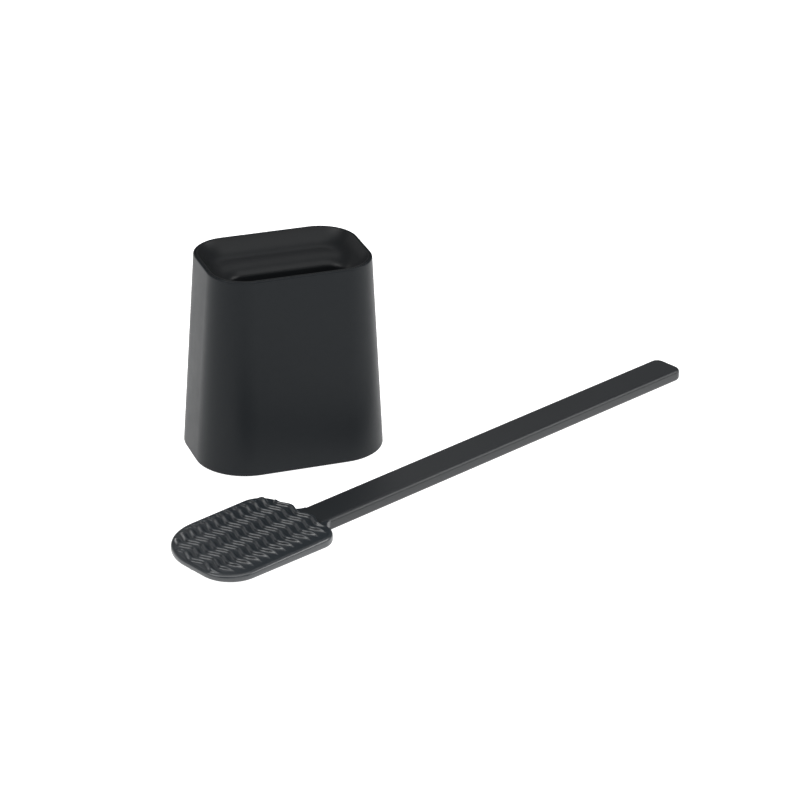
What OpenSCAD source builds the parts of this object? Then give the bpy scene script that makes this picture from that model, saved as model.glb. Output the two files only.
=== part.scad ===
// Toilet brush set: a tapered free-standing holder with a lift-out liner, and its flat
// paddle brush lying on the floor in front of it. Millimetres, +Z up.
// The origin is on the floor under the middle of the holder. -Y is the slot side.

/* [Holder casing] */
// Height of the holder above the floor
holder_h = 125; // [105:1:160]
// Length of the casing at its foot
foot_len = 118.4; // [112:0.2:150]
// Width of the casing at its foot
foot_wid = 85; // [78:0.5:110]
// Plan corner radius at the foot
foot_corner_r = 31.5; // [26:0.5:36]
// Length of the casing at its rim
rim_len = 102.5; // [98:0.5:111]
// Width of the casing at its rim
rim_wid = 71.2; // [68:0.2:77]
// Plan corner radius at the rim
rim_corner_r = 23.4; // [19:0.2:26]
// Wall of the casing
casing_wall = 2.2; // [1.8:0.1:3]
// Lip of the casing that shows around the liner
rim_lip = 1.2; // [0.9:0.1:1.6]
// Depth of the step that the liner's flange drops into
rim_step = 3; // [2:0.5:5]
// Width of the ledge that carries the liner
ledge_wid = 2.6; // [2:0.2:3.4]
// Thickness of that ledge
ledge_t = 3.5; // [2:0.5:6]

/* [Lift-out liner] */
// Gap between the liner and the casing all round
liner_gap = 0.3; // [0.2:0.05:0.5]
// Wall of the liner
liner_wall = 1.8; // [1.4:0.1:2]
// Flat ring around the dished mouth
mouth_edge = 0.9; // [0.6:0.1:1.4]
// Depth of the dished mouth below the rim
dish_depth = 8; // [7:0.5:11]
// Reach of the dish's slope, from its rim in to its level floor
dish_reach = 12.4; // [10:0.2:14]
// Length of the slot that the brush goes through
slot_len = 75; // [73:1:77]
// Width of that slot
slot_wid = 28; // [26:0.5:29]
// Straight part of each end of the slot
slot_end_flat = 2.6; // [1:0.2:5]
// Distance of the slot's middle in front of the holder's middle
slot_forward = 13; // [12.5:0.5:14]
// Reach of the rounded lip behind the slot
lip_r = 5; // [3:0.5:6]
// Draft of the pocket on each side, from slot to floor
pocket_draft = 0.9; // [0.5:0.1:1.2]
// Height of the pocket's floor above the room's floor
pocket_floor = 11; // [9:1:20]

/* [Base] */
// Height of the casing's lower edge above the floor
edge_gap = 0.8; // [0.4:0.1:1.5]
// Thickness of the base plate
base_t = 3; // [2.4:0.1:4]
// Height of the base plate's underside above the floor
base_gap = 1.4; // [1.2:0.1:2]
// Thickness of the casing's skirt around the base plate
skirt_t = 1.2; // [0.9:0.1:1.4]
// Gap between the base plate and the skirt
base_fit = 0.2; // [0.1:0.05:0.4]
// Width of the non-slip ring
ring_wid = 6; // [4:0.5:9]
// Distance of the non-slip ring inside the base plate's edge
ring_inset = 7; // [5:0.5:10]
// Depth of the ring's groove in the base plate
ring_groove = 1.2; // [0.8:0.1:1.6]
// Width of each snap hook
hook_wid = 10; // [7:0.5:14]
// Thickness of each snap hook
hook_t = 1.6; // [1.2:0.1:2]
// Height of each snap hook above the base plate
hook_h = 8; // [7:0.5:12]
// Reach of the snap hook's barb
barb = 0.8; // [0.5:0.1:1]
// Half the distance between the two hooks on one side
hook_half_spread = 20; // [14:1:24]

/* [Brush handle] */
// Length of the whole brush
brush_len = 401; // [340:1:440]
// Width of the handle
handle_wid = 22.4; // [18:0.2:26]
// Thickness of the handle
handle_t = 7.7; // [7:0.1:9]
// Rounding of the handle's long edges
handle_edge_r = 2.2; // [1:0.1:3]
// Plan corner radius of the handle's free end
handle_end_r = 5.6; // [4:0.2:9]
// Length of the tongue inside the head
tongue_len = 62; // [50:1:68]
// Width of the tongue
tongue_wid = 40; // [32:1:46]
// Thickness of the tongue
tongue_t = 2.6; // [2:0.1:3]
// Plan corner radius of the tongue
tongue_corner_r = 8; // [4:0.5:12]
// Length of the wedge that thickens the tongue up to the handle
wedge_len = 20; // [14:1:24]
// Diameter of the tongue's keying holes
key_hole_d = 8; // [5:0.5:9]
// Distance from one keying hole to the next
key_hole_pitch = 12; // [11:0.5:16]
// Least cover of soft rubber under the wedge, at the neck
neck_skin = 1; // [0.8:0.1:1.6]

/* [Brush head] */
// Length of the head
head_len = 87.8; // [82:0.2:94]
// Reach of the head on its full side, from the handle's middle line
head_far = 40.7; // [38:0.1:44]
// Reach of the head on its slim side
head_near = 28.4; // [27:0.1:32]
// Plan corner radius at the tip, on the full side
far_tip_r = 31.7; // [26:0.1:34]
// Plan corner radius at the tip, on the slim side
near_tip_r = 20.3; // [17:0.1:24]
// Plan corner radius at the neck, on the full side
far_neck_r = 15.4; // [12:0.1:18]
// Plan corner radius at the neck, on the slim side
near_neck_r = 12.5; // [11:0.1:15]
// Thickness of the head's plate between its ribs
plate_t = 6.4; // [5.8:0.1:7]
// Thickness of the plate at its tip
tip_t = 4.4; // [3.8:0.1:5.4]
// Length over which the plate thickens from its tip
tip_taper = 80; // [60:1:82]
// Rounding of the plate's edge
plate_edge_r = 2; // [1:0.1:2.6]
// Height of the plate's underside above the handle's underside
head_lift = 2.2; // [2.2:0.1:3]
// Radius of the fillets between the neck and the handle
neck_fillet_r = 6; // [2:0.5:7]

/* [Wiping ribs] */
// Distance from one rib to the next
rib_pitch = 6.2; // [5.6:0.05:8]
// Distance of the first rib's middle from the tip
first_rib = 5; // [4:0.1:7]
// Height of the ribs
rib_h = 1.9; // [1.2:0.1:2.2]
// Width of the ribs
rib_wid = 2.8; // [2:0.1:3.2]
// Smooth margin between the ribs' ends and the head's edge
rib_margin = 2.8; // [1:0.1:4]
// Least distance from the last rib's middle to the neck
neck_margin = 2; // [1.8:0.1:9]
// Half the swing of a rib's wave
wave_swing = 1.5; // [0.5:0.1:1.8]
// Length of one wave along a rib
wave_len = 17.8; // [14:0.1:30]
// Distance of the wave's crest from the handle's middle line
wave_shift = 2.9; // [0:0.1:10]
// Length over which a rib narrows at each end
rib_taper = 10; // [4:0.5:12]
// Length over which a rib's height runs out at each end
rib_run_out = 10; // [3:0.5:12]

/* [Where the brush lies] */
// Brush tip, measured to the right from the holder's middle
tip_x = -101.8; // [-110:0.1:-96]
// Brush tip, measured to the back from the holder's middle
tip_y = -149.4; // [-170:0.1:-146]
// Turn of the brush from the holder's long side
brush_turn = 23.7; // [20:0.1:26]

/* [Hidden] */
$fn = 64;
corner_steps = 14;   // facets in each quarter corner of a lofted outline
edge_steps = 3;      // facets in a rounded edge
overlap = 0.5;       // how far joined shapes run into each other
past = 1;            // how far a cut runs past a face

charcoal = [0.17, 0.18, 0.19];
charcoal_liner = [0.14, 0.14, 0.15];
charcoal_soft = [0.13, 0.14, 0.15];
rubber_black = [0.06, 0.06, 0.06];

// ---- outlines and lofts -------------------------------------------------------------

// The four corners of a rectangle with rounded corners: [x, y, radius], counter-clockwise
// from the +X +Y one.
function rect_corners(len, wid, r, cy = 0) = [
    [len / 2 - r, cy + wid / 2 - r, r],
    [-len / 2 + r, cy + wid / 2 - r, r],
    [-len / 2 + r, cy - wid / 2 + r, r],
    [len / 2 - r, cy - wid / 2 + r, r]
];

// The points of such an outline, moved inwards by inset, at height z.
function outline(corners, inset, z) = [
    for (k = [0:3]) for (i = [0:corner_steps])
        let (a = 90 * (k + i / corner_steps), r = corners[k][2] - inset)
            [corners[k][0] + r * cos(a), corners[k][1] + r * sin(a), z]
];

// A closed solid through a list of outlines with as many points each, lowest first.
module loft(outlines) {
    n = len(outlines[0]);
    m = len(outlines);
    points = [for (ring = outlines) for (p = ring) p];
    sides = [
        for (j = [0:m - 2]) for (i = [0:n - 1])
            let (a = j * n + i, b = j * n + (i + 1) % n)
                each [[a, a + n, b], [b, a + n, b + n]]
    ];
    bottom = [for (i = [0:n - 1]) i];
    top = [for (i = [n - 1:-1:0]) (m - 1) * n + i];
    polyhedron(points, concat([bottom, top], sides));
}

// A slab whose upper and lower edges are rounded.
module soft_slab(corners, z_low, z_high, edge_r) {
    function edge(i) = edge_r * (1 - cos(90 * i / edge_steps));
    function rise(i) = edge_r * (1 - sin(90 * i / edge_steps));
    loft(concat(
        [for (i = [edge_steps:-1:0]) outline(corners, edge(i), z_low + rise(i))],
        [for (i = [0:edge_steps]) outline(corners, edge(i), z_high - rise(i))]
    ));
}

// A flat rounded rectangle with true arcs.
module rounded_rect(len, wid, r) {
    square([len - 2 * r, wid], center = true);
    square([len, wid - 2 * r], center = true);
    for (sx = [-1, 1], sy = [-1, 1])
        translate([sx * (len / 2 - r), sy * (wid / 2 - r)]) circle(r);
}

// ---- sizes of the holder ------------------------------------------------------------

// How far up the casing's taper a height is, from 0 at the floor to 1 at the rim.
function up(z) = z / holder_h;
function casing_len_at(z) = foot_len + (rim_len - foot_len) * up(z);
function casing_wid_at(z) = foot_wid + (rim_wid - foot_wid) * up(z);
function casing_r_at(z) = foot_corner_r + (rim_corner_r - foot_corner_r) * up(z);
function casing_outline(z, inset) =
    outline(rect_corners(casing_len_at(z), casing_wid_at(z), casing_r_at(z)), inset, z);

step_z = holder_h - rim_step;            // seat of the liner's flange
ledge_low = step_z - ledge_t;
base_top = base_gap + base_t;            // seat of the base plate under the casing's wall

// Rim outline moved inwards by an inset, as length, width and corner radius
function rim_inset(inset) = [rim_len - 2 * inset, rim_wid - 2 * inset, rim_corner_r - inset];
seat_opening = rim_lip + ledge_wid;
flange_inset = rim_lip + liner_gap;
mouth_inset = flange_inset + mouth_edge;

// Snap hooks: the casing's inner wall at the barb's height carries the pocket for it
barb_top = base_top + hook_h;
barb_h = 3 * barb;
hook_face = casing_wid_at(barb_top) / 2 - casing_wall - base_fit;

module at_hooks() {
    for (sx = [-1, 1], turn = [0, 180])
        rotate([0, 0, turn]) translate([sx * hook_half_spread, hook_face, 0]) children();
}

// ---- holder pieces ------------------------------------------------------------------

module rim_prism(inset, z_low, z_high) {
    s = rim_inset(inset);
    translate([0, 0, z_low]) linear_extrude(z_high - z_low) rounded_rect(s[0], s[1], s[2]);
}

module casing() {
    color(charcoal) difference() {
        loft([casing_outline(edge_gap, 0), casing_outline(holder_h, 0)]);
        // hollow inside, up to the underside of the ledge
        loft([casing_outline(base_top, casing_wall), casing_outline(ledge_low, casing_wall)]);
        // skirt around the base plate
        loft([casing_outline(edge_gap - past, skirt_t), casing_outline(base_top, skirt_t)]);
        // opening inside the ledge, and the step for the flange above it
        rim_prism(seat_opening, ledge_low - past, holder_h + past);
        rim_prism(rim_lip, step_z, holder_h + past);
        // pockets for the snap barbs
        at_hooks() translate([-hook_wid / 2 - base_fit, -past, barb_top - barb_h - base_fit])
            cube([hook_wid + 2 * base_fit, past + barb + base_fit, barb_h + 3 * base_fit]);
    }
}

// The dish: how far each outline lies inside the mouth, and how deep, as shares of the
// dish's reach and depth. It leaves the rim at a slope and rounds off to a level floor.
dish_shape = [[0, 0], [0.15, 0.22], [0.3, 0.44], [0.46, 0.66], [0.66, 0.86], [0.84, 0.96], [1, 1]];
function dish_ring(reach, z, grow) =
    let (d = rim_inset(mouth_inset + reach - grow)) outline(rect_corners(d[0], d[1], d[2]), 0, z);
function dish_outlines(grow) = [
    for (i = [len(dish_shape) - 1:-1:0])
        let (s = dish_shape[i])
            dish_ring(s[0] * dish_reach, holder_h - s[1] * dish_depth - grow, grow)
];

// The pocket under the slot: the lip behind the slot rolls over in a quarter round, the
// front wall stays upright. Above the lip it goes straight up through the dish's slope.
slot_r = (slot_wid - slot_end_flat) / 2;
lip_steps = 5;
dish_floor = holder_h - dish_depth;
function pocket_ring(reach, draft, z, grow) =
    outline(rect_corners(slot_len - 2 * draft + reach + 2 * grow,
                         slot_wid - 2 * draft + reach + 2 * grow,
                         slot_r - draft + reach / 2 + grow,
                         -slot_forward + reach / 2), 0, z);
function pocket_outlines(top, grow) = concat(
    [pocket_ring(0, pocket_draft, pocket_floor - grow, grow)],
    [for (i = [0:lip_steps])
        let (a = 90 * i / lip_steps)
            pocket_ring(lip_r * (1 - cos(a)), 0, dish_floor - lip_r * (1 - sin(a)) - grow, grow)],
    [pocket_ring(lip_r, 0, top, grow)]
);

module lift_out_liner() {
    color(charcoal_liner) difference() {
        union() {
            rim_prism(flange_inset, step_z, holder_h);
            // the dish drops through the ledge's opening
            intersection() {
                loft(dish_outlines(liner_wall));
                rim_prism(seat_opening + liner_gap, dish_floor - 2 * liner_wall, step_z + overlap);
            }
            loft(pocket_outlines(step_z, liner_wall));
        }
        loft(concat(dish_outlines(0), [dish_ring(0, holder_h + past, 0)]));
        loft(pocket_outlines(holder_h, 0));
    }
}

module base_plate() {
    plate_len = casing_len_at(base_top) - 2 * (skirt_t + base_fit);
    plate_wid = casing_wid_at(base_top) - 2 * (skirt_t + base_fit);
    plate_r = casing_r_at(base_top) - skirt_t - base_fit;
    color(charcoal) {
        difference() {
            translate([0, 0, base_gap]) linear_extrude(base_t) rounded_rect(plate_len, plate_wid, plate_r);
            translate([0, 0, base_gap - past]) linear_extrude(past + ring_groove) ring_outline(0);
        }
        at_hooks() {
            translate([-hook_wid / 2, -hook_t, base_top - overlap])
                cube([hook_wid, hook_t, hook_h + overlap]);
            // barb with a sloping lead-in on top
            rotate([90, 0, -90]) translate([0, 0, -hook_wid / 2]) linear_extrude(hook_wid)
                polygon([[0, barb_top], [hook_t / 2, barb_top], [hook_t / 2, barb_top - barb_h],
                         [-barb, barb_top - barb_h], [-barb, barb_top - barb_h + barb / 2]]);
        }
    }
}

module ring_outline(gap) {
    s = [casing_len_at(base_top), casing_wid_at(base_top), casing_r_at(base_top)];
    i = skirt_t + base_fit + ring_inset + gap;
    difference() {
        rounded_rect(s[0] - 2 * i, s[1] - 2 * i, s[2] - i);
        rounded_rect(s[0] - 2 * (i + ring_wid - 2 * gap), s[1] - 2 * (i + ring_wid - 2 * gap),
                     s[2] - i - ring_wid + 2 * gap);
    }
}

module non_slip_ring() {
    color(rubber_black) linear_extrude(base_gap + ring_groove) ring_outline(base_fit / 2);
}

// ---- brush --------------------------------------------------------------------------

// The brush is drawn with its tip at the origin, its length along +X, and is then laid down.
module lay_down() {
    translate([tip_x, tip_y, 0]) rotate([0, 0, brush_turn]) children();
}

plate_low = head_lift;
plate_top = head_lift + plate_t;
plate_mid = head_lift + plate_t / 2;
tongue_low = plate_mid - tongue_t / 2;
tongue_top = plate_mid + tongue_t / 2;
tongue_tip = head_len - tongue_len;
neck_ramp = 6;       // how far the handle's top rises into the tongue
key_hole_count = floor((tongue_len - wedge_len - overlap - key_hole_d / 2) / key_hole_pitch);
handle_root_r = handle_edge_r + base_fit;    // plan corner radius of the handle's end in the head

// The head is fuller on one side of the handle than on the other.
head_corners = [
    [head_len - far_neck_r, head_far - far_neck_r, far_neck_r],
    [far_tip_r, head_far - far_tip_r, far_tip_r],
    [near_tip_r, near_tip_r - head_near, near_tip_r],
    [head_len - near_neck_r, near_neck_r - head_near, near_neck_r]
];
head_mid_y = (head_far - head_near) / 2;

// Side view of the handle where it enters the head, drawn across the given width.
module neck_wedge(wid) {
    translate([0, wid / 2, 0]) rotate([90, 0, 0]) linear_extrude(wid) polygon([
        [head_len + handle_edge_r + overlap, 0], [head_len + handle_edge_r + overlap, handle_t],
        [head_len, handle_t], [head_len - neck_ramp, tongue_top],
        [head_len - wedge_len - overlap, tongue_top], [head_len - wedge_len - overlap, tongue_low],
        [head_len - wedge_len, tongue_low], [head_len, plate_low + neck_skin], [head_len, 0]
    ]);
}

module tongue_blank() {
    translate([(tongue_tip + head_len - neck_ramp) / 2, head_mid_y, tongue_low])
        linear_extrude(tongue_t)
        rounded_rect(tongue_len - neck_ramp, tongue_wid, tongue_corner_r);
}

module handle_bar() {
    bar_len = brush_len - head_len;
    translate([head_len + bar_len / 2, 0, 0])
        soft_slab(handle_corners(bar_len), 0, handle_t, handle_edge_r);
}

module brush_handle() {
    color(charcoal) lay_down() {
        handle_bar();
        neck_wedge(handle_wid - 2 * handle_edge_r);
        difference() {
            tongue_blank();
            for (i = [1:key_hole_count])
                translate([tongue_tip + i * key_hole_pitch, head_mid_y, tongue_low - past])
                    cylinder(d = key_hole_d, h = tongue_t + 2 * past);
        }
    }
}
function handle_corners(bar_len) = [
    [bar_len / 2 - handle_end_r, handle_wid / 2 - handle_end_r, handle_end_r],
    [-bar_len / 2 + handle_root_r, handle_wid / 2 - handle_root_r, handle_root_r],
    [-bar_len / 2 + handle_root_r, -handle_wid / 2 + handle_root_r, handle_root_r],
    [bar_len / 2 - handle_end_r, -handle_wid / 2 + handle_end_r, handle_end_r]
];

// Reach of one side of the head at a distance from its tip
function side_at(x, reach, tip_r, neck_r) =
    x < tip_r ? reach - tip_r + sqrt(tip_r ^ 2 - (tip_r - x) ^ 2)
    : x > head_len - neck_r ? reach - neck_r + sqrt(neck_r ^ 2 - (x - head_len + neck_r) ^ 2)
    : reach;
function far_at(x) = side_at(x, head_far, far_tip_r, far_neck_r);
function near_at(x) = side_at(x, head_near, near_tip_r, near_neck_r);

// Half the plate's thickness at a distance from its tip
function plate_half(x) = (tip_t + (plate_t - tip_t) * min(1, x / tip_taper)) / 2;

// Side view that thins the plate towards its tip, drawn across the given width.
module tip_wedge(wid) {
    half = plate_t / 2;
    translate([0, wid / 2, plate_mid]) rotate([90, 0, 0]) linear_extrude(wid) polygon([
        [-past, plate_half(-past)], [-past, -plate_half(-past)], [tip_taper, -half],
        [head_len + past, -half], [head_len + past, half], [tip_taper, half]
    ]);
}

rib_steps = 28;
rib_point = 0.25;    // a rib's width at its ends, as a share of its full width
// A rib's half width, full in the middle and narrowing to its two ends
function rib_half(y, low, high) =
    rib_wid / 2 * (rib_point + (1 - rib_point) * min(1, (high - y) / rib_taper, (y - low) / rib_taper));
function rib_middle(x, y) = x + wave_swing * cos(360 * (y + wave_shift) / wave_len);

// One rib, standing on the plate's middle: its wave in plan, and its ends sloped in side view.
// Its crest comes down with the plate towards the tip.
module rib(x) {
    low = rib_margin - near_at(rib_middle(x, -near_at(x)));
    high = far_at(rib_middle(x, far_at(x))) - rib_margin;
    foot = plate_half(x) - overlap;
    crest = plate_half(x) * (1 + 2 * rib_h / plate_t);
    room = wave_swing + rib_wid;
    ys = [for (i = [0:rib_steps]) low + (high - low) * i / rib_steps];
    intersection() {
        linear_extrude(crest) polygon(concat(
            [for (y = ys) [rib_middle(x, y) - rib_half(y, low, high), y]],
            [for (i = [rib_steps:-1:0])
                [rib_middle(x, ys[i]) + rib_half(ys[i], low, high), ys[i]]]
        ));
        translate([x - room, 0, 0]) rotate([90, 0, 90]) linear_extrude(2 * room) polygon([
            [low, 0], [high, 0], [high, foot], [high - rib_run_out, crest],
            [low + rib_run_out, crest], [low, foot]
        ]);
    }
}

module ribs() {
    for (x = [first_rib:rib_pitch:head_len - neck_margin]) rib(x);
}

// Concave corners between the neck and the handle's sides
module neck_fillets() {
    for (side = [0, 1]) mirror([0, side, 0])
        translate([head_len - plate_edge_r, handle_wid / 2 - overlap, plate_low + overlap])
            linear_extrude(handle_t - handle_edge_r - plate_low - overlap) difference() {
                square([neck_fillet_r + plate_edge_r, neck_fillet_r + overlap]);
                translate([neck_fillet_r + plate_edge_r, neck_fillet_r + overlap])
                    circle(neck_fillet_r);
            }
}

module brush_head() {
    color(charcoal_soft) lay_down() difference() {
        union() {
            intersection() {
                soft_slab(head_corners, plate_low, plate_top, plate_edge_r);
                tip_wedge(2 * head_far + 2 * past);
            }
            for (face = [0, 1]) translate([0, 0, plate_mid]) mirror([0, 0, face]) ribs();
            neck_fillets();
        }
        tongue_blank();
        neck_wedge(handle_wid - 2 * handle_edge_r);
        // the handle's end, where the fillets meet it
        handle_bar();
    }
}

casing();
lift_out_liner();
base_plate();
non_slip_ring();
brush_handle();
brush_head();
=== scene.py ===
"""A tapered toilet brush holder with its lift-out liner, and its flat ribbed brush on the floor.

Lengths are in metres. The holder stands on the origin with +Z up, and the brush lies in front.
"""

import math

import bmesh
import bpy
from bpy.props import FloatProperty, FloatVectorProperty, PointerProperty
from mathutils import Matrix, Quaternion, Vector


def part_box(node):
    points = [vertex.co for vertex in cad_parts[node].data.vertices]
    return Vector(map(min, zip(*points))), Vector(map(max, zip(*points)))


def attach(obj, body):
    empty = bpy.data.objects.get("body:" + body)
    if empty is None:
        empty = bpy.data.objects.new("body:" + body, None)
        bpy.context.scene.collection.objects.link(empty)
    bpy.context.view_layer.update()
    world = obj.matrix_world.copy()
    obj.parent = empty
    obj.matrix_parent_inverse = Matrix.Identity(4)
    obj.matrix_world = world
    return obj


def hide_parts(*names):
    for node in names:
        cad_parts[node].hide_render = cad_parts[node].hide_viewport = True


bl_info = {
    "name": "Toilet Brush Set",
    "version": (1, 0, 0),
    "blender": (4, 5, 0),
    "location": "View3D > Sidebar > Brush Set",
    "description": "Models a tapered brush holder, its dished liner and its flat ribbed brush",
    "category": "Add Mesh",
}

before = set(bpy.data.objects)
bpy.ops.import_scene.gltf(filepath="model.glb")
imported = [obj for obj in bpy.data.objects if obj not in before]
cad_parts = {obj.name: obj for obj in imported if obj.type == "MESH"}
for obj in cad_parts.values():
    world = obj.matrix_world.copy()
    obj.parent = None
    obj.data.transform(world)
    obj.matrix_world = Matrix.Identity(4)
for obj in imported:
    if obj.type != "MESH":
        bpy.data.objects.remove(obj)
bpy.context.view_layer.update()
HOLDER_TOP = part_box("casing")[1].z
HANDLE_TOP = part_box("brush_handle")[1].z

CORNER_FACETS = 16     # facets in each rounded corner of an outline
EDGE_FACETS = 6        # facets in a rounded edge
FOOT_FACETS = 4        # facets in the rounded lower edge of the shell
FINE_FACETS = 3        # facets in the smallest edges
HOLE_FACETS = 48       # facets round a keying hole
FILLET_FACETS = 64     # facets round the hollow of a neck fillet
RIB_FACETS = 24        # facets round a rib
RIB_CUTS = 90          # cuts across a rib
TIP_CUTS = 12          # cuts across the head, where its plate gets thinner
DISH_RINGS = 26        # outlines from the slot's lip to the dish's rim
UNDER_RINGS = 16       # the same on the liner's underside
ROLL_FACETS = 8        # facets in the roll of the slot's lip
UNDER_ROLL_FACETS = 6  # the same on the liner's underside
OVERLAP = 0.0005       # how far joined solids run into each other
TOUCH = 1e-6           # nearer than this is the same place
OUTLINE_TAG = "outline"
STACK = 0.1            # height between two outlines while they are being bridged

CLOUD_SIZE = 0.035     # size of the faint clouding in every plastic and rubber
SMEAR_SIZE = 0.009     # size of the unevenness of its sheen


# ---- sizes and colours that a user would change -------------------------------------------


def length(name, description, default):
    """A length that the sidebar shows in the scene's unit."""
    return FloatProperty(
        name=name, description=description, default=default, unit="LENGTH", precision=5
    )


def colour(name, description, default):
    return FloatVectorProperty(
        name=name, description=description, default=default, subtype="COLOR", min=0, max=1
    )


def power(name, description, default):
    return FloatProperty(name=name, description=description, default=default, unit="POWER")


class CasingSizes(bpy.types.PropertyGroup):
    """The holder's tapered shell."""

    height: length("Height", "Height of the holder above the floor", HOLDER_TOP)
    foot_length: length("Foot length", "Length of the shell at the floor", 0.1184)
    foot_width: length("Foot width", "Width of the shell at the floor", 0.085)
    foot_corner: length("Foot corner", "Corner radius at the floor", 0.0315)
    rim_length: length("Rim length", "Length of the shell at its rim", 0.1025)
    rim_width: length("Rim width", "Width of the shell at its rim", 0.0712)
    rim_corner: length("Rim corner", "Corner radius at the rim", 0.0234)
    wall: length("Wall", "Thickness of the shell", 0.0022)
    lip: length("Lip", "Lip that shows round the liner", 0.0012)
    step: length("Step", "Depth of the step for the liner's flange", 0.003)
    ledge_width: length("Ledge width", "Width of the ledge that carries the liner", 0.0026)
    ledge_thickness: length("Ledge thickness", "Thickness of that ledge", 0.0035)
    edge_gap: length("Edge gap", "Height of the shell's lower edge above the floor", 0.0008)
    base_top: length("Base seat", "Height of the seat for the base plate", 0.0044)
    skirt: length("Skirt", "Thickness of the wall round the base plate", 0.0012)
    rim_edge: length("Rim edge", "Rounding of the rim's outer edge", 0.0008)
    foot_edge: length("Foot edge", "Rounding of the lower edge", 0.0005)
    hook_width: length("Hook width", "Width of a snap hook of the base plate", 0.010)
    hook_spread: length("Hook spread", "Half the distance between two hooks", 0.020)
    hook_height: length("Hook height", "Height of a snap hook above the plate", 0.008)
    barb: length("Barb", "Reach of a snap hook's barb", 0.0008)


class LinerSizes(bpy.types.PropertyGroup):
    """The lift-out liner: dished mouth, slot and pocket."""

    gap: length("Gap", "Gap between the liner and the shell", 0.0003)
    wall: length("Wall", "Thickness of the liner", 0.0018)
    mouth_edge: length("Mouth edge", "Flat ring round the dished mouth", 0.0009)
    dish_depth: length("Dish depth", "Depth of the mouth below the rim", 0.008)
    dish_reach: length("Dish reach", "Reach of the dish's slope from its rim inwards", 0.0124)
    slot_length: length("Slot length", "Length of the slot for the brush", 0.075)
    slot_width: length("Slot width", "Width of that slot", 0.028)
    slot_end_flat: length("Slot end flat", "Straight part of each end of the slot", 0.0026)
    slot_forward: length("Slot forward", "Distance of the slot in front of the middle", 0.013)
    lip: length("Lip", "Reach of the rounded lip behind the slot", 0.014)
    lip_drop: length("Lip drop", "Height over which the lip turns down into the slot", 0.005)
    back_reach: length("Back slope", "Reach of the dish's slope from the back", 0.015)
    draft: length("Draft", "Draft of the pocket on each side", 0.0009)
    pocket_floor: length("Pocket floor", "Height of the pocket's floor", 0.011)


class HandleSizes(bpy.types.PropertyGroup):
    """The flat handle, and the tongue that holds the head."""

    brush_length: length("Brush length", "Length of the whole brush", 0.401)
    width: length("Width", "Width of the handle", 0.0224)
    thickness: length("Thickness", "Thickness of the handle", HANDLE_TOP)
    edge: length("Edge", "Rounding of the long edges", 0.0022)
    end_corner: length("End corner", "Corner radius of the free end", 0.0056)
    tongue_length: length("Tongue length", "Length of the tongue inside the head", 0.062)
    tongue_width: length("Tongue width", "Width of the tongue", 0.040)
    tongue_thickness: length("Tongue thickness", "Thickness of the tongue", 0.0026)
    tongue_corner: length("Tongue corner", "Corner radius of the tongue", 0.008)
    wedge_length: length("Wedge", "Length over which the tongue thickens", 0.020)
    neck_skin: length("Neck skin", "Rubber left under the wedge at the neck", 0.001)
    key_hole: length("Keying hole", "Diameter of the tongue's keying holes", 0.008)
    key_pitch: length("Hole pitch", "Distance from one keying hole to the next", 0.012)


class HeadSizes(bpy.types.PropertyGroup):
    """The soft ribbed paddle."""

    length: length("Length", "Length of the head", 0.0878)
    far_side: length("Full side", "Reach of the full side from the handle's line", 0.0407)
    near_side: length("Slim side", "Reach of the slim side from the handle's line", 0.0284)
    far_tip: length("Full tip corner", "Tip corner radius on the full side", 0.0317)
    near_tip: length("Slim tip corner", "Tip corner radius on the slim side", 0.0203)
    far_neck: length("Full neck corner", "Neck corner radius on the full side", 0.0154)
    near_neck: length("Slim neck corner", "Neck corner radius on the slim side", 0.0125)
    plate: length("Plate", "Thickness of the plate between its ribs", 0.0064)
    tip_thickness: length("Tip thickness", "Thickness of the plate at its tip", 0.0044)
    tip_rise: length("Tip rise", "How far the underside rises at the tip", 0.0013)
    edge: length("Edge", "Rounding of the plate's edge", 0.002)
    lift: length("Lift", "Height of the plate's underside above the handle's", 0.0022)
    neck_fillet: length("Neck fillet", "Radius between the neck and the handle", 0.007)
    rib_pitch: length("Rib pitch", "Distance from one rib to the next", 0.0062)
    first_rib: length("First rib", "Distance of the first rib from the tip", 0.005)
    rib_height: length("Rib height", "Height of a rib above the plate", 0.0019)
    rib_width: length("Rib width", "Width of a rib", 0.0026)
    rib_squareness: FloatProperty(
        name="Rib squareness", description="1 for a round rib, less for a squarer one", default=0.9
    )
    rib_margin: length("Rib margin", "Smooth margin at a rib's end on the slim side", 0.0028)
    far_margin: length("Far margin", "Smooth margin at a rib's end on the full side", 0.0012)
    wave_swing: length("Wave swing", "Half the swing of a rib's wave", 0.0015)
    wave_length: length("Wave length", "Length of one wave along a rib", 0.0178)
    wave_shift: length("Wave shift", "Way from the handle's line to a crest, slim side", 0.0029)
    rib_root: length("Rib root", "Depth of a rib's root inside the plate", 0.0016)
    rib_end_sink: length("Rib end", "How far a rib's ends run under the plate's face", 0.0004)
    rib_run_out: length("Rib run-out", "Length of a rib's falling end on the slim side", 0.010)
    far_run_out: length("Far run-out", "Length of a rib's falling end on the full side", 0.005)
    grain: length("Model grain", "Facet size of the moulded surface", 0.00046)


class BrushPlace(bpy.types.PropertyGroup):
    """Where the brush lies."""

    tip_x: length("Tip X", "Brush tip, from the holder's middle to the right", -0.1018)
    tip_y: length("Tip Y", "Brush tip, from the holder's middle to the back", -0.1494)
    turn: FloatProperty(
        name="Turn", description="Turn of the brush from the holder's long side",
        default=math.radians(23.7), subtype="ANGLE",
    )


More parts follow.
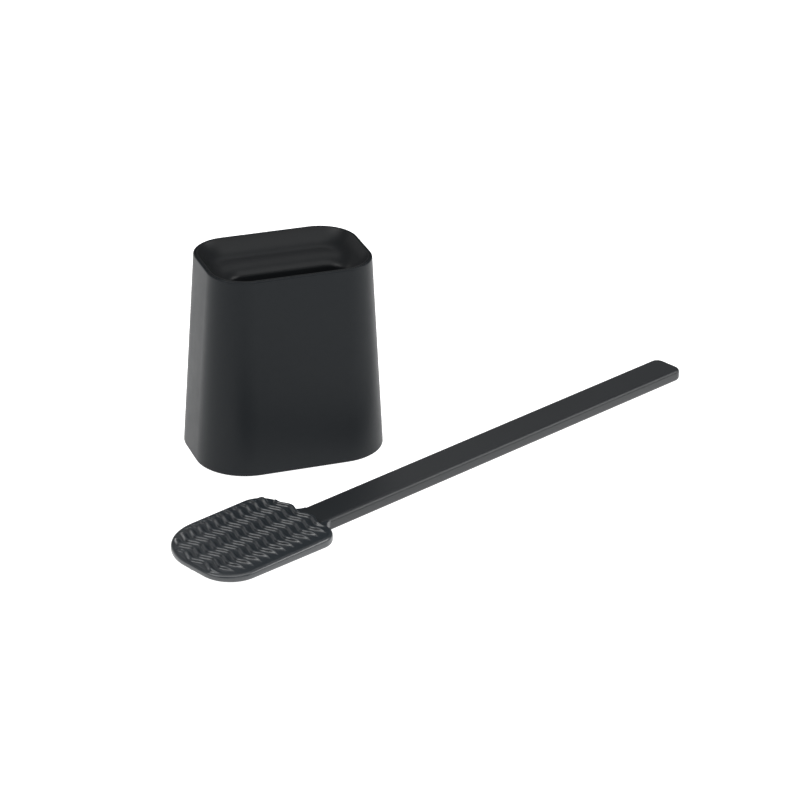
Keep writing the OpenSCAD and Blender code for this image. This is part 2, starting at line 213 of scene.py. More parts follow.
class SetColours(bpy.types.PropertyGroup):
    """Colours of the plastics and rubbers."""

    casing: colour("Casing", "Charcoal plastic of the holder", (0.006, 0.008, 0.010))
    liner: colour("Liner", "Charcoal plastic of the liner", (0.0075, 0.0085, 0.0095))
    handle: colour("Handle", "Charcoal plastic of the handle", (0.014, 0.016, 0.018))
    head: colour("Head", "Blue-black soft rubber of the head", (0.016, 0.020, 0.024))
    ring: colour("Ring", "Black rubber of the non-slip ring", (0.010, 0.010, 0.011))


class StageSizes(bpy.types.PropertyGroup):
    """Camera, floor and lights."""

    camera_place: FloatVectorProperty(
        name="Camera place", description="Where the camera stands",
        default=(-0.54206, -1.67821, 0.88649), subtype="XYZ", unit="LENGTH",
    )
    camera_aim: FloatVectorProperty(
        name="Camera aim", description="What the camera looks at",
        default=(0.08725, 0.03019, 0.0), subtype="XYZ", unit="LENGTH",
    )
    focal_length: FloatProperty(
        name="Focal length", description="Focal length in millimetres, on a 36 mm sensor",
        default=144.1, unit="CAMERA",
    )
    roll: FloatProperty(
        name="Roll", description="Turn of the camera about its own line of sight",
        default=math.radians(0.775), subtype="ANGLE",
    )
    floor_colour: colour("Floor", "Pale floor", (0.50, 0.50, 0.50))
    floor_glow: FloatProperty(
        name="Floor glow", description="Light that the pale floor gives by itself", default=1.1
    )
    surround: FloatProperty(
        name="Surround", description="Strength of the even light from all round", default=0.15
    )
    key_power: power("Key panel", "Power of the panel above", 19.0)
    front_power: power("Front panel", "Power of the low panel in front", 6.2)
    left_power: power("Left panel", "Power of the panel on the left", 15.0)
    right_power: power("Right panel", "Power of the panel on the right", 22.0)
    back_power: power("Back panel", "Power of the panel at the back left", 3.0)
    rear_power: power("Rear panel", "Power of the high panel behind", 1.6)


# ---- modelling helpers --------------------------------------------------------------------


def deselect_all():
    if bpy.context.mode != "OBJECT":
        bpy.ops.object.mode_set(mode="OBJECT")
    bpy.ops.object.select_all(action="DESELECT")


def make_active(piece):
    """Selects one piece and nothing else."""
    deselect_all()
    piece.select_set(True)
    bpy.context.view_layer.objects.active = piece


def pick(test, kind="VERT"):
    """Selects what passes the test in the mesh being edited, and nothing else."""
    bpy.ops.mesh.select_mode(type=kind)
    bpy.ops.mesh.select_all(action="DESELECT")
    shape = bmesh.from_edit_mesh(bpy.context.edit_object.data)
    parts = {"VERT": shape.verts, "EDGE": shape.edges}[kind]
    found = [part for part in parts if test(part)]
    if not found:
        raise RuntimeError(f"nothing to select in {bpy.context.edit_object.name}")
    for part in found:
        part.select_set(True)
    shape.select_flush_mode()
    bmesh.update_edit_mesh(bpy.context.edit_object.data, loop_triangles=False)


def tag_of(shape):
    tags = shape.verts.layers.int
    return tags.get(OUTLINE_TAG) or tags.new(OUTLINE_TAG)


def pick_outlines(*numbers):
    tag = tag_of(bmesh.from_edit_mesh(bpy.context.edit_object.data))
    pick(lambda v: v[tag] in numbers)


class Outline:
    """A rounded rectangle: its sides, its corner radii from the +X +Y corner round, its height.

    The height is a number, or a function of x and y for an outline that isn't level.
    """

    def __init__(self, box, radii, height):
        self.box, self.radii, self.height = tuple(box), tuple(radii), height

    @classmethod
    def centred(cls, long, wide, radius, height, y=0.0):
        return cls((-long / 2, long / 2, y - wide / 2, y + wide / 2), (radius,) * 4, height)

    def inset(self, by, height):
        x0, x1, y0, y1 = self.box
        radii = [max(r - by, 0.0001) for r in self.radii]
        return Outline((x0 + by, x1 - by, y0 + by, y1 - by), radii, height)

    def towards(self, other, share, height):
        """The outline part of the way from this one to another."""
        box = [a + (b - a) * share for a, b in zip(self.box, other.box)]
        radii = [a + (b - a) * share for a, b in zip(self.radii, other.radii)]
        return Outline(box, radii, height)


def add_outline(outline, number):
    """Adds an outline as a loop of edges to the mesh being edited: a plane with rounded corners.

    The outlines are stacked far apart, which lets the bridges between them run straight.
    """
    x0, x1, y0, y1 = outline.box
    middle = Vector(((x0 + x1) / 2, (y0 + y1) / 2, number * STACK))
    bpy.ops.mesh.select_mode(type="VERT")
    bpy.ops.mesh.primitive_plane_add(size=1, location=middle)
    bpy.ops.transform.resize(value=(x1 - x0, y1 - y0, 1), center_override=middle)
    corners = [(x1, y1), (x0, y1), (x0, y0), (x1, y0)]
    for radius in set(outline.radii):
        rounded = [c for c, r in zip(corners, outline.radii) if r == radius]
        tag = tag_of(bmesh.from_edit_mesh(bpy.context.edit_object.data))
        pick(lambda v: v[tag] == 0 and any(math.dist(v.co.xy, c) < TOUCH for c in rounded))
        bpy.ops.mesh.bevel(
            offset=radius, segments=CORNER_FACETS, affect="VERTICES", clamp_overlap=False
        )
    pick_outlines(0)
    bpy.ops.mesh.delete(type="ONLY_FACE")
    shape = bmesh.from_edit_mesh(bpy.context.edit_object.data)
    tag = tag_of(shape)
    for v in shape.verts:
        if v[tag] == 0:
            v[tag] = number
    bmesh.update_edit_mesh(bpy.context.edit_object.data)


def settle(outlines):
    """Brings each stacked outline to its own height."""
    shape = bmesh.from_edit_mesh(bpy.context.edit_object.data)
    tag = tag_of(shape)
    for v in shape.verts:
        height = outlines[v[tag] - 1].height
        v.co.z = height(v.co.x, v.co.y) if callable(height) else height
    bmesh.update_edit_mesh(bpy.context.edit_object.data)


def bridge(first, second):
    pick_outlines(first, second)
    bpy.ops.mesh.bridge_edge_loops()


def loft(name, outlines, closed=False):
    """A solid through a row of outlines. A closed one joins its last outline to its first, and an
    open one gets a face over each end."""
    deselect_all()
    bpy.ops.object.add(type="MESH", enter_editmode=True)
    piece = bpy.context.object
    piece.name = piece.data.name = name
    for number, outline in enumerate(outlines, 1):
        add_outline(outline, number)
        if number > 1:
            bridge(number - 1, number)
    if closed:
        bridge(len(outlines), 1)
    else:
        for end in (1, len(outlines)):
            pick_outlines(end)
            bpy.ops.mesh.edge_face_add()
    settle(outlines)
    bpy.ops.mesh.select_all(action="SELECT")
    bpy.ops.mesh.normals_make_consistent(inside=False)
    # that goes by the farthest face, and the floor inside a deep pocket can mislead it
    if bmesh.from_edit_mesh(piece.data).calc_volume(signed=True) < 0:
        bpy.ops.mesh.flip_normals()
    deselect_all()
    return piece


def quarter_turns(facets):
    return [math.pi / 2 * i / facets for i in range(facets + 1)]


def quarter(radius, facets=EDGE_FACETS):
    """(in, down) of the points of a rounded edge, from its side face to its top face."""
    turns = quarter_turns(facets)
    return [(radius * (1 - math.cos(t)), radius * (1 - math.sin(t))) for t in turns]


def slab(name, outline, low, high, edge, flat=0.0006):
    """A slab with rounded upper and lower edges; flat is a strip that keeps its faces flat."""
    rise = quarter(edge)
    rings = [outline.inset(edge + flat, low)]
    rings += [outline.inset(i, low + d) for i, d in reversed(rise)]
    rings += [outline.inset(i, high - d) for i, d in rise]
    rings += [outline.inset(edge + flat, high)]
    return loft(name, rings)


def add_box(name, low, high):
    """A box between two corners, with its place in its mesh."""
    deselect_all()
    low, high = Vector(low), Vector(high)
    bpy.ops.mesh.primitive_cube_add(size=1, location=(low + high) / 2)
    box = bpy.context.object
    box.name = name
    box.scale = high - low
    bpy.ops.object.transform_apply()
    return box


def apply_modifier(piece, kind, **settings):
    make_active(piece)
    modifier = piece.modifiers.new(kind.title(), kind)
    for key, value in settings.items():
        setattr(modifier, key, value)
    bpy.ops.object.modifier_apply(modifier=modifier.name)


def combine(piece, tool, how, keep_tool=False):
    """Joins a tool to a piece, or cuts it away."""
    apply_modifier(piece, "BOOLEAN", operation=how, object=tool, solver="MANIFOLD")
    if not piece.data.polygons:
        raise RuntimeError(f"{piece.name} was lost when {tool.name} was combined with it")
    if not keep_tool:
        bpy.data.objects.remove(tool)


def smooth_shade(piece, degrees=35):
    make_active(piece)
    bpy.ops.object.shade_smooth_by_angle(angle=math.radians(degrees))


def hand_over(piece, body, node, material):
    """The finished piece moves with its body and stands for its CAD node."""
    piece.data.materials.clear()
    piece.data.materials.append(material)
    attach(piece, body)
    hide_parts(node)


def lay_down(piece):
    """Turns a piece drawn along +X from its tip to where the brush lies."""
    place = bpy.context.scene.brush_place
    make_active(piece)
    piece.location = (place.tip_x, place.tip_y, 0)
    piece.rotation_euler = (0, 0, place.turn)
    bpy.ops.object.transform_apply()


# ---- materials ----------------------------------------------------------------------------


class Wire:
    """One socket of a material's nodes. Arithmetic on it adds Math nodes."""

    def __init__(self, tree, socket=None):
        self.tree, self.socket = tree, socket

    def node(self, kind, settings=None, sockets=None, out=0):
        """Adds a node: its settings are set first, then its sockets get values or links."""
        made = self.tree.nodes.new(kind)
        for key, value in (settings or {}).items():
            setattr(made, key, value)
        for key, value in (sockets or {}).items():
            if isinstance(value, Wire):
                self.tree.links.new(value.socket, made.inputs[key])
            else:
                made.inputs[key].default_value = value
        return Wire(self.tree, made.outputs[out] if made.outputs else None)

    def maths(self, operation, *values):
        return self.node("ShaderNodeMath", {"operation": operation}, dict(enumerate(values)))

    def __add__(self, other):
        return self.maths("ADD", self, other)

    __radd__ = __add__

    def __sub__(self, other):
        return self.maths("SUBTRACT", self, other)

    def __rsub__(self, other):
        return self.maths("SUBTRACT", other, self)

    def __mul__(self, other):
        return self.maths("MULTIPLY", self, other)

    __rmul__ = __mul__

    def noise(self, size, detail, roughness):
        """Noise of a feature size in metres, read from this wire's coordinates."""
        sockets = {"Vector": self, "Scale": 1 / size, "Detail": detail, "Roughness": roughness}
        return self.node("ShaderNodeTexNoise", sockets=sockets)

    def blend(self, low, high):
        """A colour from low to high, as this wire goes from 0 to 1."""
        # a Mix node has a set of sockets for each data type, and a colour's are 6, 7 and out 2
        sockets = {0: self, 6: (*low, 1), 7: (*high, 1)}
        return self.node("ShaderNodeMix", {"data_type": "RGBA"}, sockets, out=2)


def scaled(shade, by):
    return tuple(min(1.0, c * by) for c in shade)


def moulded(name, shade, roughness, grain, grain_depth, variation, specular=0.5):
    """A moulded plastic or rubber: even colour with faint clouding, fine grain, uneven sheen."""
    material = bpy.data.materials.new(name)
    material.use_nodes = True
    tree = material.node_tree
    tree.nodes.clear()
    wire = Wire(tree)
    place = wire.node("ShaderNodeTexCoord", out="Object")
    clouds = place.noise(CLOUD_SIZE, detail=3.0, roughness=0.5)
    smears = place.noise(SMEAR_SIZE, detail=4.0, roughness=0.6)
    fine = place.noise(grain, detail=2.0, roughness=0.6)
    mottle = clouds * 0.7 + fine * 0.3
    tint = mottle.blend(scaled(shade, 1 - variation), scaled(shade, 1 + variation))
    # each noise goes from 0 to 1, so 0.5 is taken off to vary the sheen to both sides
    sheen = roughness + (clouds - 0.5) * 0.06 + (smears - 0.5) * 0.08 + (fine - 0.5) * 0.05
    bump = wire.node(
        "ShaderNodeBump", sockets={"Strength": 1.0, "Distance": grain_depth, "Height": fine}
    )
    surface = wire.node(
        "ShaderNodeBsdfPrincipled",
        sockets={
            "Base Color": tint, "Roughness": sheen, "Normal": bump,
            "Specular IOR Level": specular,
        },
    )
    wire.node("ShaderNodeOutputMaterial", sockets={"Surface": surface})
    return material


def casing_plastic():
    return moulded(
        "satin_charcoal_plastic", bpy.context.scene.set_colours.casing, roughness=0.42,
        grain=0.0007, grain_depth=0.000012, variation=0.05, specular=0.18,
    )


# ---- pieces -------------------------------------------------------------------------------


class MESH_OT_holder_casing(bpy.types.Operator):
    """Models the holder's tapered shell, with its rim, ledge and skirt"""

    bl_idname = "mesh.holder_casing"
    bl_label = "Holder casing"
    bl_options = {"REGISTER", "UNDO"}

    def execute(self, context):
        s = context.scene.casing_sizes
        step_z = s.height - s.step
        ledge_low = step_z - s.ledge_thickness

        def wall_at(height, inset):
            share = height / s.height
            return Outline.centred(
                s.foot_length + (s.rim_length - s.foot_length) * share - 2 * inset,
                s.foot_width + (s.rim_width - s.foot_width) * share - 2 * inset,
                s.foot_corner + (s.rim_corner - s.foot_corner) * share - inset,
                height,
            )

        rim = wall_at(s.height, 0)
        flat = 0.0008           # strip beside a rounded edge that keeps the wall's shading even
        inner_round = 0.0002    # rounding of the rim's inner edge
        foot_round = reversed(quarter(s.foot_edge, FOOT_FACETS))
        outside = [wall_at(s.edge_gap + d, i) for i, d in foot_round]
        outside.append(wall_at(s.edge_gap + s.foot_edge + flat, 0))
        outside.append(wall_at(s.height - s.rim_edge - flat, 0))
        outside += [wall_at(s.height - d, i) for i, d in quarter(s.rim_edge)]
        turn_in = reversed(quarter(inner_round, FINE_FACETS))
        lip = [rim.inset(s.lip - i, s.height - d) for i, d in turn_in]
        seat = s.lip + s.ledge_width
        ledge = [
            rim.inset(s.lip, step_z), rim.inset(seat, step_z), rim.inset(seat, ledge_low),
        ]
        inside = [
            wall_at(ledge_low, s.wall), wall_at(s.base_top, s.wall),
            wall_at(s.base_top, s.skirt), wall_at(s.edge_gap, s.skirt),
        ]
        casing = loft("holder_casing", outside + lip + ledge + inside, closed=True)
        self.cut_hook_pockets(casing, s)
        smooth_shade(casing)
        hand_over(casing, "holder", "casing", casing_plastic())
        return {"FINISHED"}

    def cut_hook_pockets(self, casing, s):
        """Cuts the four pockets that the base plate's snap hooks catch in."""
        fit, past = 0.0002, 0.001    # gap round a hook, and how far the tool starts inside
        barb_height = 3 * s.barb
        top = s.base_top + s.hook_height
        width = s.foot_width + (s.rim_width - s.foot_width) * top / s.height
        face = width / 2 - s.wall - fit
        for side in (-1, 1):
            for x in (-s.hook_spread, s.hook_spread):
                ys = sorted((side * (face - past), side * (face + s.barb + fit)))
                half = s.hook_width / 2 + fit
                low = top - barb_height - fit
                pocket = add_box(
                    "hook_pocket", (x - half, ys[0], low), (x + half, ys[1], top + 2 * fit)
                )
                combine(casing, pocket, "DIFFERENCE")


class MESH_OT_holder_liner(bpy.types.Operator):
    """Models the lift-out liner: the dished mouth, the slot with its rolled lip, the pocket"""

    bl_idname = "mesh.holder_liner"
    bl_label = "Holder liner"
    bl_options = {"REGISTER", "UNDO"}

    def execute(self, context):
        case, s = context.scene.casing_sizes, context.scene.liner_sizes
        top, step_z = case.height, case.height - case.step
        rim = Outline.centred(case.rim_length, case.rim_width, case.rim_corner, top)
        mouth_inset = case.lip + s.gap + s.mouth_edge
        half_long = case.rim_length / 2 - mouth_inset
        half_wide = case.rim_width / 2 - mouth_inset
        corner = case.rim_corner - mouth_inset
        slot_corner = (s.slot_width - s.slot_end_flat) / 2

        def slope_share(x, y):
            """0 at the dish's rim, 1 on its level floor. The slope is longer towards the back."""
            qx, qy = abs(x) - half_long + corner, abs(y) - half_wide + corner
            outside = math.hypot(max(qx, 0), max(qy, 0)) + min(max(qx, qy), 0)
            back = min(1.0, max(0.0, y / half_wide + 0.2))    # 0 over the slot, 1 at the back
            reach = s.dish_reach + (s.back_reach - s.dish_reach) * back**2 * (3 - 2 * back)
            return min(1.0, max(0.0, (corner - outside) / reach))

        def dish(x, y):
            """Height of the mouth's surface. A higher power makes its slope steeper at the rim."""
            return top - s.dish_depth * (1 - (1 - slope_share(x, y)) ** 2.2)

        def underside(x, y):
            """The wall is thicker where the dish is steep."""
            return dish(x, y) - s.wall * (1.4 - 0.4 * slope_share(x, y))

        def slot(reach, draft, height, grow=0.0):
            return Outline.centred(
                s.slot_length - 2 * draft + reach + 2 * grow,
                s.slot_width - 2 * draft + reach + 2 * grow,
                slot_corner - draft + reach / 2 + grow,
                height, y=-s.slot_forward + reach / 2,
            )

        def roll(turn, surface, grow=0.0):
            """The lip's rolled edge, from the slot's wall at 0 to the dish at a quarter turn."""
            drop = s.lip_drop * (1 - math.sin(turn))
            reach = s.lip * (1 - math.cos(turn))
            return slot(reach, 0, lambda x, y: surface(x, y) - drop, grow)

        floor_round, flat = 0.0025, 0.001    # the floor's fillet, and a flat strip beside it
        flange_edge = 0.00025
        floor = s.pocket_floor
        inner = [slot(0, s.draft, floor).inset(floor_round + flat, floor)]
        # quarter() counts from the side face, so a floor's fillet reads it from the other end
        inner += [
            slot(0, s.draft, floor + d).inset(i, floor + d)
            for i, d in reversed(quarter(floor_round))
        ]
        inner += [roll(turn, dish) for turn in quarter_turns(ROLL_FACETS)]
        lip = slot(s.lip, 0, 0)
        mouth = rim.inset(mouth_inset, top)
        inner += [lip.towards(mouth, i / DISH_RINGS, dish) for i in range(1, DISH_RINGS + 1)]
        flange = case.lip + s.gap
        edge = reversed(quarter(flange_edge, FINE_FACETS))
        inner += [rim.inset(flange + i, top - d) for i, d in edge]
        inner.append(rim.inset(flange, step_z))

        hang = case.lip + case.ledge_width + s.gap
        outer = [rim.inset(hang, step_z)]
        outer_lip = slot(s.lip, 0, 0, s.wall)
        shoulder = rim.inset(hang, 0)
        outer += [
            shoulder.towards(outer_lip, i / UNDER_RINGS, underside)
            for i in range(UNDER_RINGS + 1)
        ]
        turns = quarter_turns(UNDER_ROLL_FACETS)[:-1]
        outer += [roll(turn, underside, s.wall) for turn in reversed(turns)]
        low, low_round = floor - s.wall, 0.002
        pocket = slot(0, s.draft, 0, s.wall)
        outer += [pocket.inset(i, low + d) for i, d in quarter(low_round)]
        outer.append(pocket.inset(low_round + flat, low))
        liner = loft("dished_liner", inner + outer)
        smooth_shade(liner)
        plastic = moulded(
            "satin_liner_plastic", context.scene.set_colours.liner, roughness=0.38,
            grain=0.0007, grain_depth=0.000010, variation=0.05, specular=0.18,
        )
        hand_over(liner, "liner", "lift_out_liner", plastic)
        return {"FINISHED"}


class MESH_OT_holder_base(bpy.types.Operator):
    """Finishes the base plate with its snap hooks, and the non-slip ring under it"""

    bl_idname = "mesh.holder_base"
    bl_label = "Holder base"
    bl_options = {"REGISTER", "UNDO"}

    def execute(self, context):
        rubber = moulded(
            "matt_black_rubber", context.scene.set_colours.ring, roughness=0.72,
            grain=0.0005, grain_depth=0.00002, variation=0.08,
        )
        for name, finish in (("base_plate", casing_plastic()), ("non_slip_ring", rubber)):
            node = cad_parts[name]
            node.data.materials.clear()
            node.data.materials.append(finish)
        return {"FINISHED"}


class MESH_OT_brush_handle(bpy.types.Operator):
    """Models the flat handle with the keyed tongue that runs into the head"""

    bl_idname = "mesh.brush_handle"
    bl_label = "Brush handle"
    bl_options = {"REGISTER", "UNDO"}

    def execute(self, context):
        s, head = context.scene.handle_sizes, context.scene.head_sizes
        neck = head.length
        root = s.edge + 0.0002    # corners at the head, just wider than the edge's rounding
        buried = 0.006            # how far from the neck the tongue's slab ends, in the wedge
        bar = Outline(
            (neck, s.brush_length, -s.width / 2, s.width / 2),
            (s.end_corner, root, root, s.end_corner), 0,
        )
        handle = slab("flat_handle", bar, 0, s.thickness, s.edge)
        middle = head.lift + head.plate / 2
        low, high = middle - s.tongue_thickness / 2, middle + s.tongue_thickness / 2
        y = (head.far_side - head.near_side) / 2
        half = s.tongue_width / 2
        plan = Outline(
            (neck - s.tongue_length, neck - buried, y - half, y + half), (s.tongue_corner,) * 4, 0
        )
        tongue = slab("tongue", plan, low, high, edge=0.0003)
        for hole in self.key_holes(s, neck, y, low, high):
            combine(tongue, hole, "DIFFERENCE")
        combine(handle, tongue, "UNION")
        for block in self.wedges(s, neck, low, high):
            combine(handle, block, "UNION")
        smooth_shade(handle)
        plastic = moulded(
            "satin_handle_plastic", context.scene.set_colours.handle, roughness=0.40,
            grain=0.0007, grain_depth=0.000010, variation=0.05, specular=0.46,
        )
        lay_down(handle)
        hand_over(handle, "brush", "brush_handle", plastic)
        return {"FINISHED"}

    def key_holes(self, s, neck, y, low, high):
        """Tools for the row of holes that lets the rubber run through the tongue."""
        room = s.tongue_length - s.wedge_length - s.key_hole / 2 - OVERLAP
        for i in range(1, int(room / s.key_pitch) + 1):
            deselect_all()
            bpy.ops.mesh.primitive_cylinder_add(
                vertices=HOLE_FACETS, radius=s.key_hole / 2, depth=3 * (high - low),
                location=(neck - s.tongue_length + i * s.key_pitch, y, (low + high) / 2),
            )
            bpy.ops.object.transform_apply()
            yield bpy.context.object

    def wedges(self, s, neck, low, high):
        """The blocks that thicken the tongue up to the handle, in the head and just past it."""
        half = s.width / 2 - s.edge
        inside_tongue = 0.0001    # how far the wedge's thin end lies inside the tongue
        floor = bpy.context.scene.head_sizes.lift + s.neck_skin
        inside = add_box(
            "wedge", (neck - s.wedge_length, -half, floor), (neck + OVERLAP, half, s.thickness)
        )
        make_active(inside)
        bpy.ops.object.mode_set(mode="EDIT")
        for old, new in ((floor, low + inside_tongue), (s.thickness, high - inside_tongue)):
            pick(lambda v: v.co.x < neck - OVERLAP and abs(v.co.z - old) < TOUCH)
            bpy.ops.transform.translate(value=(0, 0, new - old))
        deselect_all()
        yield inside
        yield add_box("root", (neck, -half, 0), (neck + s.edge + OVERLAP, half, s.thickness))


class MESH_OT_brush_head(bpy.types.Operator):
    """Models the soft paddle with its wavy ribs on both faces, as one moulding"""

    bl_idname = "mesh.brush_head"
    bl_label = "Brush head"
    bl_options = {"REGISTER", "UNDO"}

    def execute(self, context):
        s, bar = context.scene.head_sizes, context.scene.handle_sizes
        self.s = s
        outline = Outline(
            (0, s.length, -s.near_side, s.far_side),
            (s.far_neck, s.far_tip, s.near_tip, s.near_neck), 0,
        )
        head = slab("ribbed_head", outline, s.lift, s.lift + s.plate, s.edge)
        self.thin_tip(head)
        parts = [head, *self.neck_fillets(bar), *self.ribs()]
        make_active(head)
        for part in parts:
            part.select_set(True)
        bpy.ops.object.join()
        apply_modifier(head, "REMESH", mode="VOXEL", voxel_size=s.grain, adaptivity=0)
        apply_modifier(head, "SMOOTH", factor=0.5, iterations=3)
        lay_down(head)
        combine(head, bpy.data.objects["flat_handle"], "DIFFERENCE", keep_tool=True)
        # the cut leaves faces with many corners, which are best divided here
        apply_modifier(head, "TRIANGULATE", min_vertices=5)
        smooth_shade(head, degrees=60)
        rubber = moulded(
            "soft_blue_black_rubber", context.scene.set_colours.head, roughness=0.30,
            grain=0.0006, grain_depth=0.000008, variation=0.06, specular=0.8,
        )
        hand_over(head, "brush", "brush_head", rubber)
        return {"FINISHED"}

    def plate_at(self, x):
        """Heights of the plate's underside and top at a distance from its tip."""
        s = self.s
        to_tip = 1 - min(1.0, max(0.0, x / s.length))
        low = s.lift + s.tip_rise * to_tip
        return low, low + s.plate + (s.tip_thickness - s.plate) * to_tip

    def thin_tip(self, head):
        """Thins the plate towards its tip."""
        make_active(head)
        bpy.ops.object.mode_set(mode="EDIT")
        for i in range(1, TIP_CUTS + 1):
            bpy.ops.mesh.select_all(action="SELECT")
            place = (self.s.length * i / (TIP_CUTS + 1), 0, 0)
            bpy.ops.mesh.bisect(plane_co=place, plane_no=(1, 0, 0))
        shape = bmesh.from_edit_mesh(head.data)
        for v in shape.verts:
            low, high = self.plate_at(v.co.x)
            v.co.z = low + (v.co.z - self.s.lift) * (high - low) / self.s.plate
        bmesh.update_edit_mesh(head.data)
        deselect_all()

    def side_at(self, x, reach, tip, neck):
        """Reach of one side of the head at a distance from its tip."""
        if x < tip:
            return reach - tip + math.sqrt(max(0, tip**2 - (tip - x) ** 2))
        into = x - self.s.length + neck
        if into > 0:
            return reach - neck + math.sqrt(max(0, neck**2 - into**2))
        return reach

    def rib_reach(self, x, side, reach, tip, neck):
        """Reach of a rib up to the head's side, in two steps because the rib swings."""
        end = reach
        for _ in range(2):
            end = self.side_at(self.wave(x, side * end), reach, tip, neck)
        return end

    def wave(self, x, y):
        """Place along the head of a rib's middle line, at a distance y from the handle's line."""
        s = self.s
        turn = 2 * math.pi * (y + s.wave_shift) / s.wave_length
        return x + s.wave_swing * math.cos(turn)

    def ribs(self):
        """One rib is modelled and copied, and each copy is bent to its place."""
        s = self.s
        neck_margin = 0.002
        deselect_all()
        bpy.ops.mesh.primitive_cylinder_add(
            vertices=RIB_FACETS, radius=1, depth=1, rotation=(math.pi / 2, 0, 0),
            enter_editmode=True,
        )
        bpy.ops.object.mode_set(mode="OBJECT")
        bpy.ops.object.transform_apply()
        rib = bpy.context.object
        bpy.ops.object.mode_set(mode="EDIT")
        pick(lambda e: abs(e.verts[0].co.y - e.verts[1].co.y) > 0.5, "EDGE")
        bpy.ops.mesh.subdivide(number_cuts=RIB_CUTS)
        deselect_all()
        x = s.first_rib
        while x < s.length - neck_margin:
            for face in (1, -1):
                copy = rib.copy()
                copy.data = rib.data.copy()
                bpy.context.scene.collection.objects.link(copy)
                self.bend_rib(copy.data, x, face)
                yield copy
            x += s.rib_pitch
        bpy.data.objects.remove(rib)

    def bend_rib(self, mesh, x, face):
        """Bends a straight rib to its wave, on the upper face (1) or the lower one (-1)."""
        s = self.s
        end_width = 0.25    # a rib's width at its ends, as a share of its full width
        shorter = 0.004     # how much sooner the lower ribs stop, which keeps them out of sight
        near = self.rib_reach(x, -1, s.near_side, s.near_tip, s.near_neck)
        far = self.rib_reach(x, 1, s.far_side, s.far_tip, s.far_neck)
        low = s.rib_margin - near + (shorter if face < 0 else 0)
        high = far - s.far_margin
        surface = self.plate_at(x)[(face + 1) // 2]
        for v in mesh.vertices:
            across, along, up = v.co.x, v.co.y + 0.5, v.co.z
            across, up = (math.copysign(abs(c) ** s.rib_squareness, c) for c in (across, up))
            y = low + (high - low) * along
            full = min(1, (y - low) / s.rib_run_out, (high - y) / s.far_run_out)
            half = s.rib_width / 2 * (end_width + (1 - end_width) * full)
            rise = full**2 * (3 - 2 * full)
            top = s.rib_height * rise - s.rib_end_sink * (1 - rise)
            v.co.x = self.wave(x, y) + across * half
            v.co.y = y
            v.co.z = surface + face * (top - (top + s.rib_root) * (1 - up) / 2)
        if face < 0:
            mesh.flip_normals()

    def neck_fillets(self, bar):
        """Blocks beside the handle's root, each with a round hollow cut out of its corner."""
        s = self.s
        reach, half = s.neck_fillet, bar.width / 2
        into_bar, above_plate, below_bar = 0.002, 0.0004, 0.0002
        for side in (-1, 1):
            ys = sorted((side * (half - into_bar), side * (half + reach)))
            block = add_box(
                "neck_fillet", (s.length - s.edge, ys[0], s.lift + above_plate),
                (s.length + reach, ys[1], bar.thickness - below_bar),
            )
            deselect_all()
            bpy.ops.mesh.primitive_cylinder_add(
                vertices=FILLET_FACETS, radius=reach, depth=0.03,
                location=(s.length + reach, side * (half + reach), s.lift),
            )
            bpy.ops.object.transform_apply()
            combine(block, bpy.context.object, "DIFFERENCE")
            yield block


# ---- stage --------------------------------------------------------------------------------


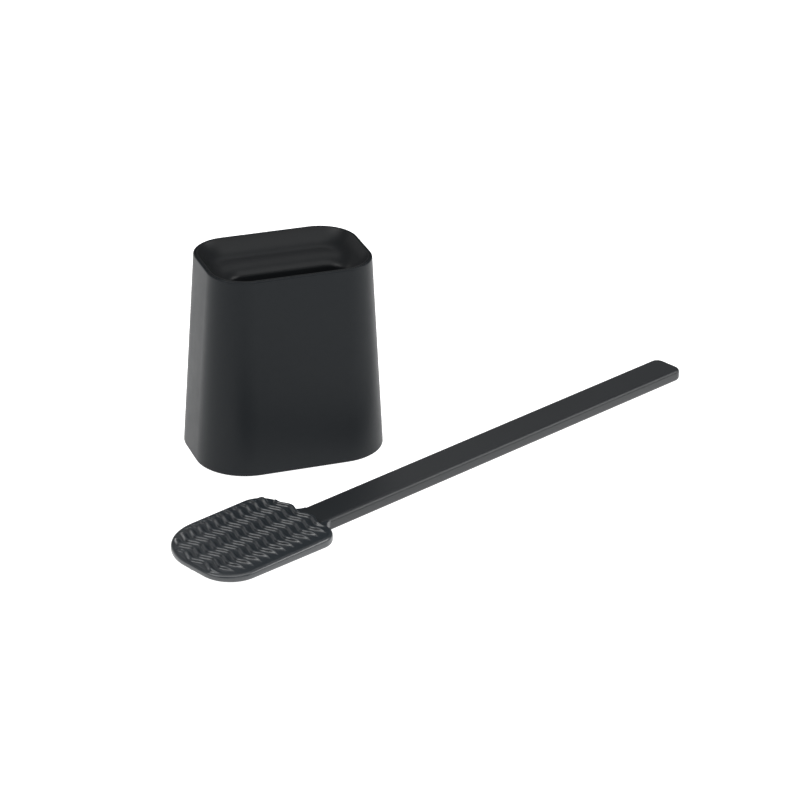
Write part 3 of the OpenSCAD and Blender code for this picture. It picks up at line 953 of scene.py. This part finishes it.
class SCENE_OT_brush_stage(bpy.types.Operator):
    """Adds the pale floor, the soft light and the camera"""

    bl_idname = "scene.brush_stage"
    bl_label = "Stage"
    bl_options = {"REGISTER", "UNDO"}

    def execute(self, context):
        s = context.scene.stage_sizes
        deselect_all()
        bpy.ops.mesh.primitive_plane_add(size=12, location=(0, 0, 0))
        floor = context.object
        floor.name = "pale_floor"
        material = bpy.data.materials.new("pale_floor")
        material.use_nodes = True
        surface = material.node_tree.nodes["Principled BSDF"]
        surface.inputs["Base Color"].default_value = (*s.floor_colour, 1)
        surface.inputs["Roughness"].default_value = 0.9
        surface.inputs["Specular IOR Level"].default_value = 0.0
        surface.inputs["Emission Color"].default_value = (1, 1, 1, 1)
        surface.inputs["Emission Strength"].default_value = s.floor_glow
        floor.data.materials.append(material)

        world = bpy.data.worlds.new("soft_surround")
        context.scene.world = world
        world.use_nodes = True
        background = world.node_tree.nodes["Background"]
        background.inputs["Color"].default_value = (1, 1, 1, 1)
        background.inputs["Strength"].default_value = s.surround
        self.add_panel("key_panel", (0.1, -0.35, 1.75), 1.8, s.key_power)
        self.add_panel("front_panel", (0.2, -2.3, 0.72), 1.4, s.front_power)
        self.add_panel("left_panel", (-1.3, -0.25, 1.45), 1.0, s.left_power)
        self.add_panel("right_panel", (1.8, -0.7, 1.15), 1.2, s.right_power)
        self.add_panel("back_panel", (-1.3, 1.5, 0.6), 1.1, s.back_power)
        self.add_panel("rear_panel", (0.45, 1.3, 1.5), 0.8, s.rear_power)

        aim = Vector(s.camera_aim)
        bpy.ops.object.camera_add(location=s.camera_place)
        camera = context.object
        camera.name = "camera"
        level = (aim - camera.location).to_track_quat("-Z", "Y")
        camera.rotation_euler = (level @ Quaternion((0, 0, 1), s.roll)).to_euler()
        camera.data.lens = s.focal_length
        camera.data.sensor_width = 36
        camera.data.clip_end = 50
        context.scene.camera = camera
        context.scene.view_settings.view_transform = "Standard"
        return {"FINISHED"}

    def add_panel(self, name, place, size, power):
        """A soft square light that faces the object."""
        bpy.ops.object.light_add(type="AREA", location=place)
        panel = bpy.context.object
        panel.name = name
        panel.data.size = size
        panel.data.energy = power
        panel.rotation_euler = (-panel.location).to_track_quat("-Z", "Y").to_euler()


# ---- add-on -------------------------------------------------------------------------------

GROUPS = {
    "casing_sizes": CasingSizes,
    "liner_sizes": LinerSizes,
    "handle_sizes": HandleSizes,
    "head_sizes": HeadSizes,
    "brush_place": BrushPlace,
    "set_colours": SetColours,
    "stage_sizes": StageSizes,
}
OPERATORS = [
    MESH_OT_holder_casing,
    MESH_OT_holder_liner,
    MESH_OT_holder_base,
    MESH_OT_brush_handle,
    MESH_OT_brush_head,
    SCENE_OT_brush_stage,
]


class VIEW3D_PT_brush_set(bpy.types.Panel):
    """Lists the pieces and their sizes"""

    bl_idname = "VIEW3D_PT_brush_set"
    bl_label = "Toilet Brush Set"
    bl_space_type = "VIEW_3D"
    bl_region_type = "UI"
    bl_category = "Brush Set"

    def draw(self, context):
        for operator in OPERATORS:
            self.layout.operator(operator.bl_idname)
        for group, kind in GROUPS.items():
            box = self.layout.box()
            box.label(text=kind.__doc__)
            for name in kind.__annotations__:
                box.prop(getattr(context.scene, group), name)


def register():
    for kind in [*GROUPS.values(), *OPERATORS, VIEW3D_PT_brush_set]:
        bpy.utils.register_class(kind)
    for group, kind in GROUPS.items():
        setattr(bpy.types.Scene, group, PointerProperty(type=kind))


def unregister():
    for group in GROUPS:
        delattr(bpy.types.Scene, group)
    for kind in [VIEW3D_PT_brush_set, *reversed(OPERATORS), *GROUPS.values()]:
        bpy.utils.unregister_class(kind)


def main():
    """Makes every piece and the stage."""
    register()
    bpy.ops.mesh.holder_casing()
    bpy.ops.mesh.holder_liner()
    bpy.ops.mesh.holder_base()
    bpy.ops.mesh.brush_handle()
    bpy.ops.mesh.brush_head()
    bpy.ops.scene.brush_stage()
    deselect_all()


if __name__ == "__main__":
    main()
